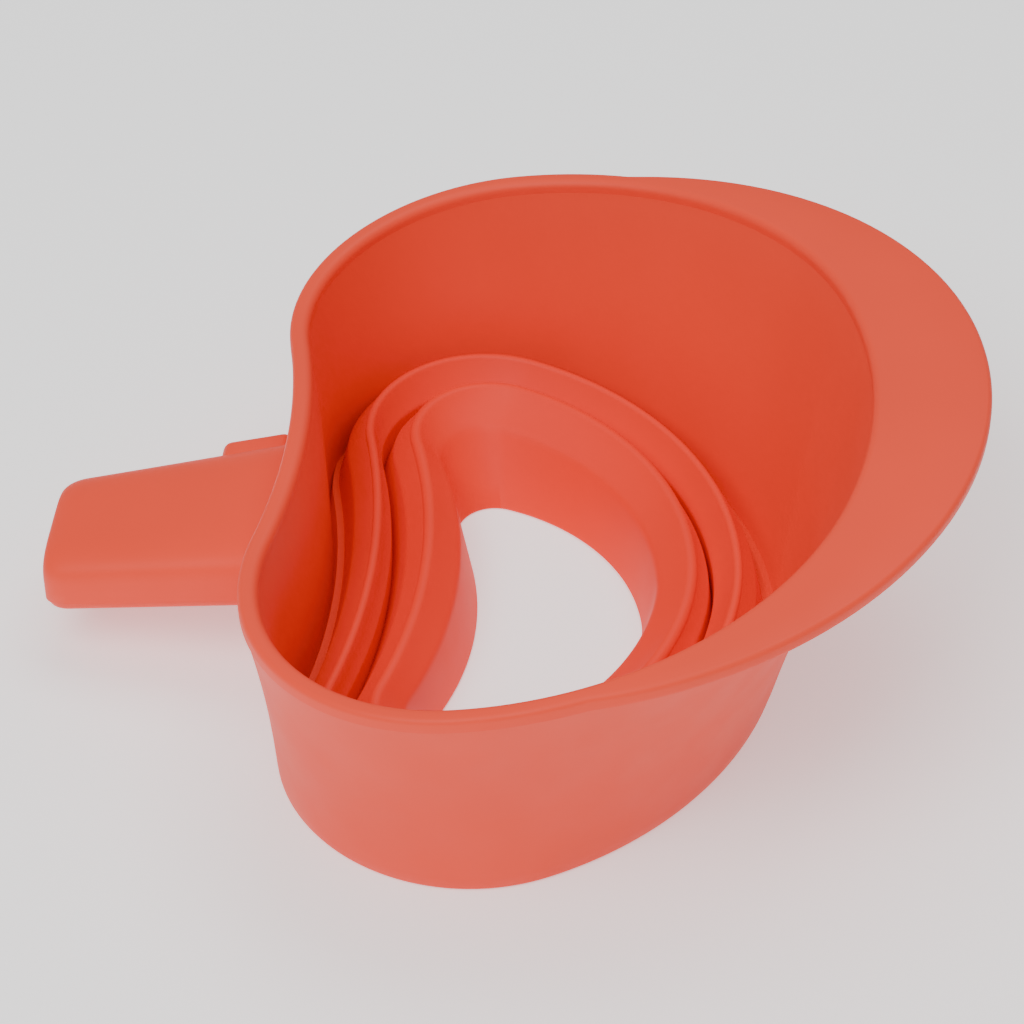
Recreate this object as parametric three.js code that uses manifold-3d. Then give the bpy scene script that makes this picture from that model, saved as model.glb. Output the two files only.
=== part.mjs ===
// Collapsible heart-shaped measuring funnel: a deep shell with a sloping rim and a flange, a
// handle in two shells, and two nested rings joined by fold bands that pop down into a funnel.
// Millimetres, +Z up, +X from the handle towards the flange, Y = 0 the plane of symmetry.
// The shell and the pouring ring both stand on Z = 0.
import * as THREE from 'three';
import { mergeVertices } from 'three/addons/utils/BufferGeometryUtils.js';
import Module from 'manifold-3d';

const wasm = await Module();
wasm.setup();

// ---------------------------------------------------------------- driving dimensions

// A heart outline is four tangent arcs on each side of Y = 0: a hollow notch arc, a lobe, a long
// side and a round tip. The lobe's centre and the tip's reach are given, the rest follows.
const RIM = { notchR: 137, lobeR: 38.8, lobeX: -9.5, lobeY: 36, sideR: 67.7, tipR: 90, reach: 59.5 };
const FOOT = { notchR: 110, lobeR: 35.2, lobeX: -10.8, lobeY: 31.6, sideR: 73.2, tipR: 48, reach: 45 };
const OUTER_VALLEY = { notchR: 143, lobeR: 23.4, lobeX: -14.2, lobeY: 39.2, sideR: 66.6, tipR: 55, reach: 38.2 };
const OUTER_CREST = { notchR: 146, lobeR: 22.3, lobeX: -13.9, lobeY: 39.4, sideR: 65.4, tipR: 56, reach: 36.1 };
const INNER_VALLEY = { notchR: 130, lobeR: 16.8, lobeX: -13.2, lobeY: 38.6, sideR: 59.6, tipR: 48, reach: 30.2 };
const INNER_CREST = { notchR: 117, lobeR: 14.2, lobeX: -12.9, lobeY: 38.2, sideR: 56.6, tipR: 45, reach: 27.4 };
const CREASE = { notchR: 95, lobeR: 8.7, lobeX: -13.5, lobeY: 36.0, sideR: 49.6, tipR: 28, reach: 21.3 };
const OUTLET = { notchR: 63, lobeR: 6.9, lobeX: -11, lobeY: 27.3, sideR: 38.8, tipR: 18, reach: 18.7 };
const HANGING_HOLE = { notchR: 7, lobeR: 3.9, lobeX: 69, lobeY: 5.8, sideR: 14, tipR: 4.2, reach: 74.4 };
const ARC_STEPS = { notch: 4, lobe: 13, side: 7, tip: 6 };

// The rim lies in a plane that climbs towards the flange.
const RIM_HEIGHT_AT_NOTCH = 45.2;
const RIM_SLOPE = 0.155;
const BEAD_HALF_WIDTH = 1.8;
const BEAD_DEPTH = 3.4;
const BEAD_ARC_STEPS = 3;
const TONGUE_WIDTH = 1.0;
const TONGUE_DEPTH = 2.6;
const FLANGE_RADIUS = 73.6;
const FLANGE_CENTRE_X = 4.5;
const FLANGE_THICKNESS = 2.6;
const FLANGE_EDGE_CHAMFER = 0.6;
const FLANGE_ROOT_FILLET = 1.6;

const WALL_TOP_THICKNESS = 3.0;
const WALL_FOOT_THICKNESS = 2.2;
const WALL_HOLLOW = 0.7;
const FOOT_CHAMFER = 0.7;
const LEDGE_THICKNESS = 1.6;
const GAP = 0.3;

// The folds: crests stand up from the valleys, and each ring turns inside out downwards.
const VALLEY_HEIGHT = 1.0;
const CREST_HEIGHT = 17.0;
const BAND_THICKNESS = 0.9;
const OUTER_CREST_RADIUS = 1.0;
const INNER_CREST_RADIUS = 1.3;
const RING_WALL = 1.3;
const CREASE_HEIGHT = 12.5;
const CREASE_SOFTNESS = 0.5;
const SPOUT_WALL = 1.6;

const HANDLE = {
  rootX: -34, tipX: -86.5, rootHalfWidth: 15.2, tipHalfWidth: 10.8, rootHalfHeight: 8.2, tipHalfHeight: 6.9,
  rootZ: 25.0, tipZ: 19.5, cornerPower: 3.0, partingBelowAxis: 2.6, wall: 2.2, endLength: 5.5, endSize: 0.62,
  endRoundness: 0.8, endSteps: 4, lowerInset: 0.5, lengthSteps: 7, aroundSteps: 32,
};
const TANG = { length: 40, width: 13, thickness: 3.6, embed: 1.2 };
const SCREW = {
  shankR: 1.3, headR: 2.8, headDepth: 1.8, bite: 2, clearance: 0.3, bossR: 2.9, cupR: 4.4, recess: 1.0,
  spots: [-54, -68],
};
const CLIP = { length: 10.5, reach: 4.4, thickness: 4.2, centreX: -53, aboveAxis: 2.6, embed: 1.2, bevel: 1.2 };
const ROUND_SIDES = 20;

const COLOURS = { rigid: 0xff5a3c, ring: 0xf34c32, band: 0xea3d28, steel: 0xb8bcc0 };

// ---------------------------------------------------------------- outlines and rings

const rimHeight = (x) => RIM_HEIGHT_AT_NOTCH + RIM_SLOPE * (x - heartOutline(RIM)[0].point.x);

const tipCentre = (heart) => new THREE.Vector2(heart.reach - heart.tipR, 0);

// The centre of the side arc, which is tangent inside to the lobe and to the tip.
function sideCentre(heart) {
  const fromLobe = heart.sideR - heart.lobeR;
  const fromTip = heart.sideR - heart.tipR;
  const lobe = new THREE.Vector2(heart.lobeX, heart.lobeY);
  const direction = tipCentre(heart).sub(lobe);
  const distance = direction.length();
  const along = (fromLobe ** 2 - fromTip ** 2 + distance ** 2) / (2 * distance);
  const farSide = heart.sideR > heart.tipR ? 1 : -1;
  const across = farSide * Math.sqrt(Math.max(0, fromLobe ** 2 - along ** 2));
  direction.divideScalar(distance);
  return lobe.addScaledVector(direction, along).add(
    new THREE.Vector2(direction.y, -direction.x).multiplyScalar(across));
}

const bearing = (from, to) => Math.atan2(to.y - from.y, to.x - from.x);

const outlineCache = new Map();

// The points of a heart with their outward normals, the same number on every heart, so that two
// outlines loft together point by point. It starts at the notch and passes the +Y lobe first.
function heartOutline(heart) {
  if (outlineCache.has(heart)) return outlineCache.get(heart);
  const lobe = new THREE.Vector2(heart.lobeX, heart.lobeY);
  const tip = tipCentre(heart);
  const notchX = heart.lobeX - Math.sqrt((heart.notchR + heart.lobeR) ** 2 - heart.lobeY ** 2);
  const notch = new THREE.Vector2(notchX, 0);
  const side = sideCentre(heart);
  const notchEnd = bearing(notch, lobe);
  const lobeStart = notchEnd + Math.PI;
  const lobeEnd = bearing(side, lobe);
  const sideEnd = heart.sideR > heart.tipR ? bearing(side, tip) : bearing(tip, side);
  const arcs = [
    { centre: notch, radius: heart.notchR, from: 0, to: notchEnd, steps: ARC_STEPS.notch, outward: -1 },
    { centre: lobe, radius: heart.lobeR, from: lobeStart, to: lobeEnd, steps: ARC_STEPS.lobe, outward: 1 },
    { centre: side, radius: heart.sideR, from: lobeEnd, to: sideEnd, steps: ARC_STEPS.side, outward: 1 },
    { centre: tip, radius: heart.tipR, from: sideEnd, to: 0, steps: ARC_STEPS.tip, outward: 1 },
  ];
  const half = [];
  for (const arc of arcs) {
    for (let step = 0; step < arc.steps; step += 1) {
      const angle = arc.from + (arc.to - arc.from) * (step / arc.steps);
      const ray = new THREE.Vector2(Math.cos(angle), Math.sin(angle));
      half.push({
        point: arc.centre.clone().addScaledVector(ray, arc.radius),
        normal: ray.multiplyScalar(arc.outward),
      });
    }
  }
  const tipEnd = { point: new THREE.Vector2(heart.reach, 0), normal: new THREE.Vector2(1, 0) };
  const mirrored = half.slice(1).reverse().map(({ point, normal }) => ({
    point: new THREE.Vector2(point.x, -point.y),
    normal: new THREE.Vector2(normal.x, -normal.y),
  }));
  const outline = [...half, tipEnd, ...mirrored];
  outlineCache.set(heart, outline);
  return outline;
}

// One closed loop of 3-D points: a heart moved outwards by an offset, at a height. Offset and
// height are numbers, or functions of the outline's entry and of X.
function loop(heart, offset, height) {
  return heartOutline(heart).map((entry) => {
    const out = typeof offset === 'function' ? offset(entry) : offset;
    const x = entry.point.x + entry.normal.x * out;
    const y = entry.point.y + entry.normal.y * out;
    return new THREE.Vector3(x, y, typeof height === 'function' ? height(x) : height);
  });
}

const blendLoops = (low, high, share) => low.map((point, index) => point.clone().lerp(high[index], share));

// ---------------------------------------------------------------- solids

function geometryFrom(positions, indices) {
  const geometry = new THREE.BufferGeometry();
  geometry.setAttribute('position', new THREE.Float32BufferAttribute(positions, 3));
  geometry.setIndex(indices);
  return geometry;
}

// Turns a closed mesh the right way out, whichever way its loops ran.
function facingOut(geometry) {
  const position = geometry.getAttribute('position');
  const index = geometry.getIndex();
  const corner = [new THREE.Vector3(), new THREE.Vector3(), new THREE.Vector3()];
  let volume = 0;
  for (let i = 0; i < index.count; i += 3) {
    corner.forEach((vertex, k) => vertex.fromBufferAttribute(position, index.getX(i + k)));
    volume += corner[0].dot(corner[1].clone().cross(corner[2]));
  }
  if (volume < 0) index.array.forEach((value, i) => {
    if (i % 3 === 1) {
      const next = index.array[i + 1];
      index.array[i + 1] = value;
      index.array[i] = next;
    }
  });
  return geometry;
}

// A ring-shaped solid: the loops, in order, are the corners of its section all the way round.
function ringSolid(loops) {
  const count = loops[0].length;
  const positions = loops.flatMap((points) => points.flatMap((point) => [point.x, point.y, point.z]));
  const indices = [];
  for (let row = 0; row < loops.length; row += 1) {
    const nextRow = (row + 1) % loops.length;
    for (let column = 0; column < count; column += 1) {
      const nextColumn = (column + 1) % count;
      const a = row * count + column;
      const b = row * count + nextColumn;
      const c = nextRow * count + nextColumn;
      const d = nextRow * count + column;
      indices.push(a, b, c, a, c, d);
    }
  }
  return facingOut(geometryFrom(positions, indices));
}

// A lofted solid: loops from one end to the other, each end closed by a fan to its middle.
function loftSolid(loops) {
  const count = loops[0].length;
  const positions = loops.flatMap((points) => points.flatMap((point) => [point.x, point.y, point.z]));
  const indices = [];
  for (let row = 0; row + 1 < loops.length; row += 1) {
    for (let column = 0; column < count; column += 1) {
      const nextColumn = (column + 1) % count;
      const a = row * count + column;
      const b = row * count + nextColumn;
      const c = (row + 1) * count + nextColumn;
      const d = (row + 1) * count + column;
      indices.push(a, b, c, a, c, d);
    }
  }
  for (const [row, flip] of [[0, true], [loops.length - 1, false]]) {
    const middle = loops[row].reduce((sum, point) => sum.add(point), new THREE.Vector3()).divideScalar(count);
    const hub = positions.length / 3;
    positions.push(middle.x, middle.y, middle.z);
    for (let column = 0; column < count; column += 1) {
      const a = row * count + column;
      const b = row * count + ((column + 1) % count);
      indices.push(...(flip ? [b, a, hub] : [a, b, hub]));
    }
  }
  return facingOut(geometryFrom(positions, indices));
}

function toManifold(geometry) {
  const bare = geometry.clone();
  bare.deleteAttribute('normal');
  bare.deleteAttribute('uv');
  const merged = mergeVertices(bare, 1e-5);
  return new wasm.Manifold(new wasm.Mesh({
    numProp: 3,
    vertProperties: new Float32Array(merged.getAttribute('position').array),
    triVerts: new Uint32Array(merged.getIndex().array),
  }));
}

function fromManifold(manifold) {
  const mesh = manifold.getMesh();
  return geometryFrom(Array.from(mesh.vertProperties), Array.from(mesh.triVerts));
}

// An upright cylinder from one height to another.
function post(radius, x, y, low, high) {
  const shape = new THREE.CylinderGeometry(radius, radius, high - low, ROUND_SIDES);
  return toManifold(shape.rotateX(Math.PI / 2).translate(x, y, (low + high) / 2));
}

// ---------------------------------------------------------------- shell: rim frame and wall

// How far the flange's round edge lies beyond the rim's bead, and nothing on the handle's half.
function flangeReach({ point, normal }) {
  const fromCentre = point.clone().sub(new THREE.Vector2(FLANGE_CENTRE_X, 0));
  if (fromCentre.x <= 0) return 0;
  const along = fromCentre.dot(normal);
  const reach = -along + Math.sqrt(along ** 2 - fromCentre.lengthSq() + FLANGE_RADIUS ** 2);
  return Math.max(0, reach - BEAD_HALF_WIDTH);
}

const rimLoop = (offset, drop) => loop(RIM, offset, (x) => rimHeight(x) - drop);

function rimFrame() {
  const radius = BEAD_HALF_WIDTH;
  const rounding = Array.from({ length: BEAD_ARC_STEPS + 1 }, (_, step) => (step / BEAD_ARC_STEPS) * (Math.PI / 2));
  const innerSide = rounding.map((angle) => rimLoop(-radius * Math.cos(angle), radius * (1 - Math.sin(angle))));
  const outerSide = rounding.map((angle) => rimLoop(
    (entry) => flangeReach(entry) + radius * Math.sin(angle), radius * (1 - Math.cos(angle)))).slice(1);
  const tongueFoot = BEAD_DEPTH + TONGUE_DEPTH;
  const ring = ringSolid([
    rimLoop(-radius, BEAD_DEPTH),
    ...innerSide,
    rimLoop((entry) => flangeReach(entry) + 0.01, 0),
    ...outerSide,
    rimLoop((entry) => flangeReach(entry) + radius - Math.min(FLANGE_EDGE_CHAMFER, flangeReach(entry)),
      FLANGE_THICKNESS),
    rimLoop((entry) => radius + Math.min(FLANGE_ROOT_FILLET, flangeReach(entry)), FLANGE_THICKNESS + 0.2),
    rimLoop(radius, BEAD_DEPTH),
    rimLoop(TONGUE_WIDTH / 2, BEAD_DEPTH),
    rimLoop(TONGUE_WIDTH / 2, tongueFoot),
    rimLoop(-TONGUE_WIDTH / 2, tongueFoot),
    rimLoop(-TONGUE_WIDTH / 2, BEAD_DEPTH),
  ]);
  const holeHeight = 4 * FLANGE_THICKNESS;
  const holeBottom = rimHeight(HANGING_HOLE.reach) - holeHeight / 2;
  const hole = loftSolid([loop(HANGING_HOLE, 0, holeBottom), loop(HANGING_HOLE, 0, holeBottom + holeHeight)]);
  return fromManifold(toManifold(ring).subtract(toManifold(hole)));
}

// A loop on the wall, a share of the way from the foot to the underside of the rim's bead.
function wallLoop(share, footOffset, rimOffset) {
  const foot = loop(FOOT, footOffset, 0);
  const top = rimLoop(rimOffset, BEAD_DEPTH + GAP);
  return blendLoops(foot, top, share);
}

function wallSolid() {
  const out = WALL_TOP_THICKNESS / 2;
  const hollowAt = (share) => -WALL_HOLLOW * Math.sin(Math.PI * share);
  const outerShares = [0.02, 0.2, 0.4, 0.6, 0.8, 1];
  const outerFace = outerShares.map((share) => wallLoop(share, hollowAt(share), out + hollowAt(share)));
  const innerFace = [1, 0.75, 0.5, 0.25, 0.08].map((share) => wallLoop(
    share, hollowAt(share) - WALL_FOOT_THICKNESS, hollowAt(share) - out));
  const groove = TONGUE_WIDTH / 2 + GAP;
  const grooveFoot = BEAD_DEPTH + TONGUE_DEPTH + GAP;
  const ledgeEdge = BAND_THICKNESS / 2 + GAP;
  return toManifold(ringSolid([
    loop(FOOT, -FOOT_CHAMFER, 0),
    ...outerFace,
    rimLoop(groove, BEAD_DEPTH + GAP),
    rimLoop(groove, grooveFoot),
    rimLoop(-groove, grooveFoot),
    rimLoop(-groove, BEAD_DEPTH + GAP),
    ...innerFace,
    loop(OUTER_VALLEY, ledgeEdge, LEDGE_THICKNESS),
    loop(OUTER_VALLEY, ledgeEdge, 0),
  ]));
}

// The wall as one filled block, grown by a gap: what a piece that butts on the wall is cut with.
const wallBlock = (gap) => toManifold(loftSolid([
  wallLoop(0, gap, WALL_TOP_THICKNESS / 2 + gap),
  wallLoop(0.5, gap - WALL_HOLLOW, WALL_TOP_THICKNESS / 2 + gap - WALL_HOLLOW),
  wallLoop(1, gap, WALL_TOP_THICKNESS / 2 + gap),
]));

// ---------------------------------------------------------------- folds and rings

// The sheet that climbs from a valley to the outer half of a crest's underside.
function foldBand(valley, crest, crestRadius) {
  const half = BAND_THICKNESS / 2;
  const top = CREST_HEIGHT - 2 * crestRadius - GAP;
  return ringSolid([
    loop(valley, half, VALLEY_HEIGHT),
    loop(crest, crestRadius, top),
    loop(crest, crestRadius - BAND_THICKNESS, top),
    loop(valley, -half, VALLEY_HEIGHT),
  ]);
}

// Where a ring's own wall leaves the crest's underside, clear of the band beside it.
const wallStart = (crestRadius) => crestRadius - BAND_THICKNESS - GAP;

// The round top of a ring, from its outer to its inner side.
function crestLoops(heart, radius) {
  return [0, 0.25, 0.5, 0.75, 1].map((share) => {
    const angle = share * Math.PI;
    return loop(heart, radius * Math.cos(angle), CREST_HEIGHT - radius + radius * Math.sin(angle));
  });
}

function middleRing() {
  const footStart = BAND_THICKNESS / 2 + GAP;
  const underside = CREST_HEIGHT - 2 * OUTER_CREST_RADIUS;
  return ringSolid([
    loop(OUTER_CREST, OUTER_CREST_RADIUS, underside),
    ...crestLoops(OUTER_CREST, OUTER_CREST_RADIUS),
    loop(INNER_VALLEY, footStart, VALLEY_HEIGHT + RING_WALL),
    loop(INNER_VALLEY, footStart, VALLEY_HEIGHT),
    loop(INNER_VALLEY, footStart + RING_WALL, VALLEY_HEIGHT),
    loop(OUTER_CREST, wallStart(OUTER_CREST_RADIUS), underside),
  ]);
}

function pouringRing() {
  const underside = CREST_HEIGHT - 2 * INNER_CREST_RADIUS;
  return ringSolid([
    loop(INNER_CREST, INNER_CREST_RADIUS, underside),
    ...crestLoops(INNER_CREST, INNER_CREST_RADIUS),
    loop(CREASE, CREASE_SOFTNESS, CREASE_HEIGHT + CREASE_SOFTNESS),
    loop(CREASE, 0, CREASE_HEIGHT - CREASE_SOFTNESS),
    loop(OUTLET, 0, 0),
    loop(OUTLET, SPOUT_WALL, 0),
    loop(CREASE, SPOUT_WALL, CREASE_HEIGHT - SPOUT_WALL),
    loop(INNER_CREST, wallStart(INNER_CREST_RADIUS), underside),
  ]);
}

const outerBand = () => foldBand(OUTER_VALLEY, OUTER_CREST, OUTER_CREST_RADIUS);
const innerBand = () => foldBand(INNER_VALLEY, INNER_CREST, INNER_CREST_RADIUS);

// ---------------------------------------------------------------- handle

const handleTilt = Math.atan2(HANDLE.rootZ - HANDLE.tipZ, HANDLE.rootX - HANDLE.tipX);
const axisHeight = (x) => HANDLE.rootZ + (x - HANDLE.rootX) * Math.tan(handleTilt);

// Half the handle's width and height at X.
function handleHalf(x) {
  const share = (HANDLE.rootX - x) / (HANDLE.rootX - HANDLE.tipX);
  return {
    width: THREE.MathUtils.lerp(HANDLE.rootHalfWidth, HANDLE.tipHalfWidth, share),
    height: THREE.MathUtils.lerp(HANDLE.rootHalfHeight, HANDLE.tipHalfHeight, share),
  };
}

// A rounded section of the handle across X, shrunk by an inset and scaled towards its middle.
function handleSection(x, inset, scale) {
  const half = handleHalf(x);
  const squared = (value) => Math.sign(value) * Math.abs(value) ** (2 / HANDLE.cornerPower);
  return Array.from({ length: HANDLE.aroundSteps }, (_, step) => {
    const angle = (step / HANDLE.aroundSteps) * 2 * Math.PI;
    return new THREE.Vector3(
      x,
      squared(Math.cos(angle)) * (half.width - inset) * scale,
      axisHeight(x) + squared(Math.sin(angle)) * (half.height - inset) * scale,
    );
  });
}

// The handle's whole form, pulled in all over by an inset: straight flanks and a rounded end.
function handleForm(inset) {
  const endStart = HANDLE.tipX + HANDLE.endLength;
  const loops = [];
  for (let step = 0; step <= HANDLE.lengthSteps; step += 1) {
    loops.push(handleSection(THREE.MathUtils.lerp(HANDLE.rootX, endStart, step / HANDLE.lengthSteps), inset, 1));
  }
  for (let step = 1; step <= HANDLE.endSteps; step += 1) {
    const turn = (step / HANDLE.endSteps) * (Math.PI / 2);
    const x = endStart - (HANDLE.endLength - inset) * Math.sin(turn);
    const narrowed = HANDLE.endSize + (1 - HANDLE.endSize) * Math.max(0, Math.cos(turn)) ** HANDLE.endRoundness;
    loops.push(handleSection(x, inset, narrowed));
  }
  return toManifold(loftSolid(loops));
}

// The half-space above or below the parting plane, which runs along the handle's axis.
function partingHalf(side, gap) {
  const length = 2 * (HANDLE.rootX - HANDLE.tipX);
  const depth = 40;
  const geometry = new THREE.BoxGeometry(length, 2 * depth, depth);
  geometry.translate(0, 0, side * (depth / 2 + gap) - HANDLE.partingBelowAxis);
  geometry.rotateY(-handleTilt);
  const middle = (HANDLE.rootX + HANDLE.tipX) / 2;
  return toManifold(geometry.translate(middle, 0, axisHeight(middle)));
}

// The underside of a screw's head, sunk into the lower shell.
const screwHead = (x) => axisHeight(x) - handleHalf(x).height + HANDLE.lowerInset + SCREW.recess;

const tangBlock = (grow) => {
  const end = HANDLE.rootX - TANG.length - grow;
  const geometry = new THREE.BoxGeometry(HANDLE.rootX - end, TANG.width + 2 * grow, TANG.thickness + 2 * grow);
  geometry.translate((end - HANDLE.rootX) / 2, 0, 0).rotateY(-handleTilt);
  return toManifold(geometry.translate(HANDLE.rootX, 0, HANDLE.rootZ));
};

// The tang reaches from the shell's notch into the handle; the screw bosses pass through it.
function outerWall() {
  const bosses = SCREW.spots.map((x) => post(SCREW.bossR + GAP, x, 0, 0, 2 * HANDLE.rootZ));
  const tang = bosses.reduce((solid, boss) => solid.subtract(boss), tangBlock(0).subtract(wallBlock(-TANG.embed)));
  return fromManifold(wallSolid().add(tang));
}

// The clip tab's form: a rounded bar that stands out of the handle's far flank.
function clipForm(grow) {
  const halfLength = CLIP.length / 2 + grow;
  const halfThickness = CLIP.thickness / 2 + grow;
  const bevel = CLIP.bevel;
  const outline = new THREE.Shape();
  outline.moveTo(-halfLength, -CLIP.embed - grow);
  outline.lineTo(halfLength, -CLIP.embed - grow);
  outline.lineTo(halfLength, CLIP.reach - 2 * bevel);
  outline.quadraticCurveTo(halfLength, CLIP.reach, halfLength - 2 * bevel, CLIP.reach);
  outline.lineTo(-halfLength + 2 * bevel, CLIP.reach);
  outline.quadraticCurveTo(-halfLength, CLIP.reach, -halfLength, CLIP.reach - 2 * bevel);
  outline.closePath();
  const bar = new THREE.ExtrudeGeometry(outline, { depth: 2 * halfThickness, bevelEnabled: false, curveSegments: 5 });
  bar.translate(0, 0, -halfThickness);
  bar.rotateY(-handleTilt).translate(
    CLIP.centreX, handleHalf(CLIP.centreX).width, axisHeight(CLIP.centreX) + CLIP.aboveAxis);
  return toManifold(bar);
}

function handleUpper() {
  let shell = handleForm(0).subtract(handleForm(HANDLE.wall));
  for (const x of SCREW.spots) {
    const roof = axisHeight(x) + handleHalf(x).height - HANDLE.wall / 2;
    shell = shell.add(post(SCREW.bossR, x, 0, axisHeight(x) - HANDLE.partingBelowAxis + GAP, roof));
    shell = shell.subtract(post(SCREW.shankR + SCREW.clearance, x, 0, 0, axisHeight(x) + SCREW.bite + 1));
  }
  shell = shell.intersect(partingHalf(1, GAP / 2));
  return fromManifold(shell.subtract(wallBlock(GAP)).subtract(clipForm(GAP)));
}

function handleLower() {
  const outside = handleForm(HANDLE.lowerInset);
  let shell = outside.subtract(handleForm(HANDLE.wall + HANDLE.lowerInset));
  for (const x of SCREW.spots) {
    const top = axisHeight(x) - HANDLE.partingBelowAxis - GAP;
    shell = shell.add(post(SCREW.cupR, x, 0, screwHead(x) - SCREW.recess - 1, top).intersect(outside));
    shell = shell.subtract(post(SCREW.headR + SCREW.clearance, x, 0, 0, screwHead(x) + SCREW.headDepth + GAP));
    shell = shell.subtract(post(SCREW.shankR + SCREW.clearance, x, 0, 0, axisHeight(x)));
  }
  return fromManifold(shell.intersect(partingHalf(-1, GAP / 2)).subtract(wallBlock(GAP)));
}

const clipTab = () => fromManifold(clipForm(0));

function handleScrew(x) {
  const head = post(SCREW.headR, x, 0, screwHead(x), screwHead(x) + SCREW.headDepth);
  return fromManifold(head.add(post(SCREW.shankR, x, 0, screwHead(x), axisHeight(x) + SCREW.bite)));
}

// ---------------------------------------------------------------- assembly

const satin = (color, roughness, metalness = 0) => new THREE.MeshStandardMaterial({ color, roughness, metalness });

const MATERIALS = {
  rigid: satin(COLOURS.rigid, 0.42),
  ring: satin(COLOURS.ring, 0.45),
  band: satin(COLOURS.band, 0.55),
  steel: satin(COLOURS.steel, 0.35, 0.9),
};

const PIECES = [
  ['rim_frame', rimFrame, MATERIALS.rigid],
  ['outer_wall', outerWall, MATERIALS.rigid],
  ['fold_band_outer', outerBand, MATERIALS.band],
  ['middle_ring', middleRing, MATERIALS.ring],
  ['fold_band_inner', innerBand, MATERIALS.band],
  ['pouring_ring', pouringRing, MATERIALS.ring],
  ['handle_upper', handleUpper, MATERIALS.rigid],
  ['handle_lower', handleLower, MATERIALS.rigid],
  ['clip_tab', clipTab, MATERIALS.rigid],
  ['handle_screw_front', () => handleScrew(SCREW.spots[0]), MATERIALS.steel],
  ['handle_screw_rear', () => handleScrew(SCREW.spots[1]), MATERIALS.steel],
];

const product = new THREE.Group();
for (const [name, build, material] of PIECES) {
  const mesh = new THREE.Mesh(build(), material);
  mesh.name = name;
  product.add(mesh);
}

// The row's origin is under the middle of the whole object, on the plane it stands on.
const middle = new THREE.Box3().setFromObject(product).getCenter(new THREE.Vector3());
product.position.set(-middle.x, -middle.y, 0);
product.updateMatrixWorld(true);

export default product;
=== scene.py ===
"""The finished look of a heart-shaped folding measuring funnel: satin orange-red plastic and
silicone. Sizes are in metres unless a name ends in _MM; the outlines are written in millimetres."""
import math

import bmesh
import bpy
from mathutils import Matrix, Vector


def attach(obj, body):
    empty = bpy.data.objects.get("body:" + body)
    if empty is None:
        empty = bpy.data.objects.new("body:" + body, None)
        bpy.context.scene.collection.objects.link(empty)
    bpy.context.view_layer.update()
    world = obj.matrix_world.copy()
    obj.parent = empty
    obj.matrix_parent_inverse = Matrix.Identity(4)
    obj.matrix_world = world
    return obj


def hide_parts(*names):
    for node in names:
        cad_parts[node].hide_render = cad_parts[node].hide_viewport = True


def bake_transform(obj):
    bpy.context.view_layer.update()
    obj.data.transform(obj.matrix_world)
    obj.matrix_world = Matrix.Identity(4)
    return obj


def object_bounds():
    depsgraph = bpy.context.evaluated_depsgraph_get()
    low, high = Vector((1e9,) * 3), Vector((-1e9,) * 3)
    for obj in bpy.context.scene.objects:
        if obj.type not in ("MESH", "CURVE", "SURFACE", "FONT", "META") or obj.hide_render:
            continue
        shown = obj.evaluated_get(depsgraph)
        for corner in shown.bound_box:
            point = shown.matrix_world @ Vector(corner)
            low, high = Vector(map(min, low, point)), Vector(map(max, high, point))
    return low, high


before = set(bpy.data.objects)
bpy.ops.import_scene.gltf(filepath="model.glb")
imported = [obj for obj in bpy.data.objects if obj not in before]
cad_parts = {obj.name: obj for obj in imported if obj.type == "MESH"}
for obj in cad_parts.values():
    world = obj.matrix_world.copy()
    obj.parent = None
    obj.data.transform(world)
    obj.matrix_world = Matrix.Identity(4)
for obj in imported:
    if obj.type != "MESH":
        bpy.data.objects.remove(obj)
CAD_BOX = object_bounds()

bl_info = {
    "name": "Folding Measuring Funnel",
    "version": (1, 0, 0),
    "blender": (4, 5, 0),
    "location": "View3D > Sidebar > Funnel",
    "description": "Builds a heart-shaped measuring funnel from lofted heart outlines",
    "category": "Add Mesh",
}

MM = 0.001
CREASE_ANGLE = math.radians(38)

# A heart is four tangent arcs on each side of Y = 0: notch radius, lobe radius, lobe centre X and
# Y, side radius, tip radius and the tip's reach along X, all in millimetres.
RIM = (137, 38.8, -9.5, 36, 67.7, 90, 59.5)
FOOT = (110, 35.2, -10.8, 31.6, 73.2, 48, 45)
OUTER_VALLEY = (142, 26.5, -15.5, 37.4, 69, 57, 41)
OUTER_SHOULDER = (145, 25, -15, 38.4, 68, 57, 39.1)
OUTER_CREST = (146, 22.3, -13.9, 39.4, 65.4, 56, 36.1)
INNER_VALLEY = (126, 19.4, -13.8, 37.1, 61.5, 48.5, 31.3)
INNER_SHOULDER = (110, 17, -14, 37.6, 59, 47, 30.3)
INNER_CREST = (117, 14.2, -12.9, 38.2, 56.6, 45, 27.4)
CREASE = (95, 8.7, -13.5, 36.0, 49.6, 28, 21.3)
OUTLET = (63, 6.9, -11, 27.3, 38.8, 18, 18.7)
HANGING_HOLE = (7, 3.9, 69, 5.8, 14, 4.2, 74.4)
ARC_STEPS = (20, 44, 36, 20)
HOLE_STEPS = (6, 12, 6, 6)

FLANGE_CENTRE_X_MM = 4.5
FLANGE_RADIUS_MM = 73.6
ROW_SHIFT_X = CAD_BOX[1].x - (FLANGE_CENTRE_X_MM + FLANGE_RADIUS_MM) * MM
RIM_SLOPE = 0.155
RIM_HEIGHT_AT_NOTCH = 45.2 * MM


# ------------------------------------------------------------------ sizes and colours

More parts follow.
